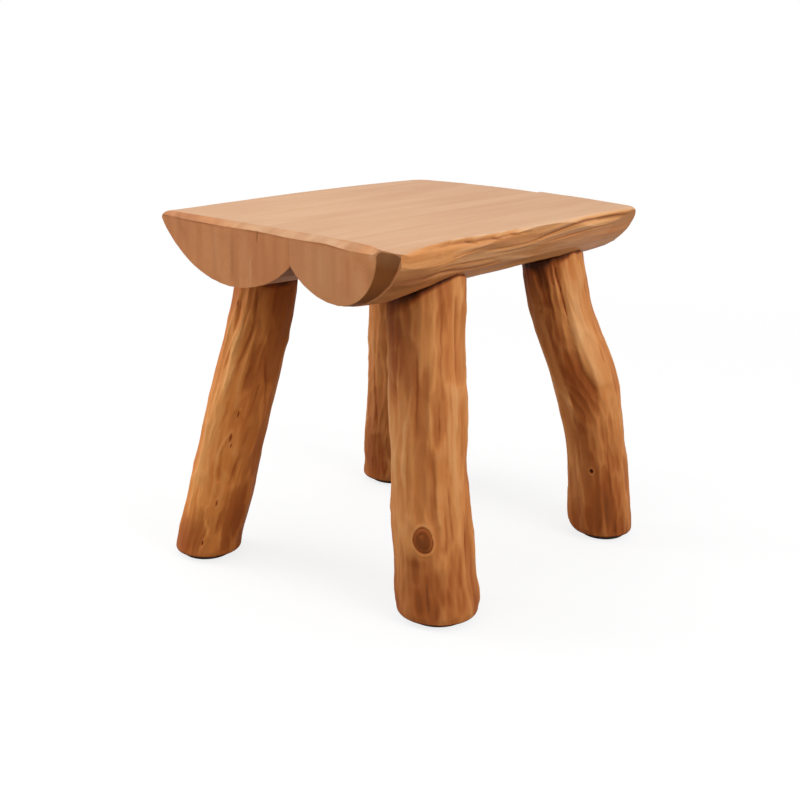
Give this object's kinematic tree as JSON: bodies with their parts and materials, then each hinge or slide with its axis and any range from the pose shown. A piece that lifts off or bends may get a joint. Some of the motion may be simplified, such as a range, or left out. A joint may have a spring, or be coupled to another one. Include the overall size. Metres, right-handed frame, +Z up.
{
  "type": "stool",
  "caption": "Rustic low stool: a seat of half-round log slabs joined edge to edge on splayed, peeled branch legs.",
  "frame": {"origin": "on the floor, in the middle of the box that the whole stool fills", "axes": "+Z up from the floor; +Y along the two slabs, from the front end with the two scallops to the back; +X across the slabs, towards the thinner one"},
  "size_m": [0.3844, 0.4392, 0.4],
  "materials": {
    "seat_wood": "oiled, satin",
    "leg_wood": "peeled, hand-shaved, oiled",
    "dowel_wood": "bare",
    "foot_pad": "matt"
  },
  "bodies": {
    "root": {"seat_slab_left": "seat_wood", "seat_slab_right": "seat_wood", "seam_dowels": "dowel_wood", "leg_front_left": "leg_wood", "leg_front_right": "leg_wood", "leg_back_right": "leg_wood", "leg_back_left": "leg_wood", "foot_pad_front_left": "foot_pad", "foot_pad_front_right": "foot_pad", "foot_pad_back_right": "foot_pad", "foot_pad_back_left": "foot_pad"}
  },
  "joints": []
}
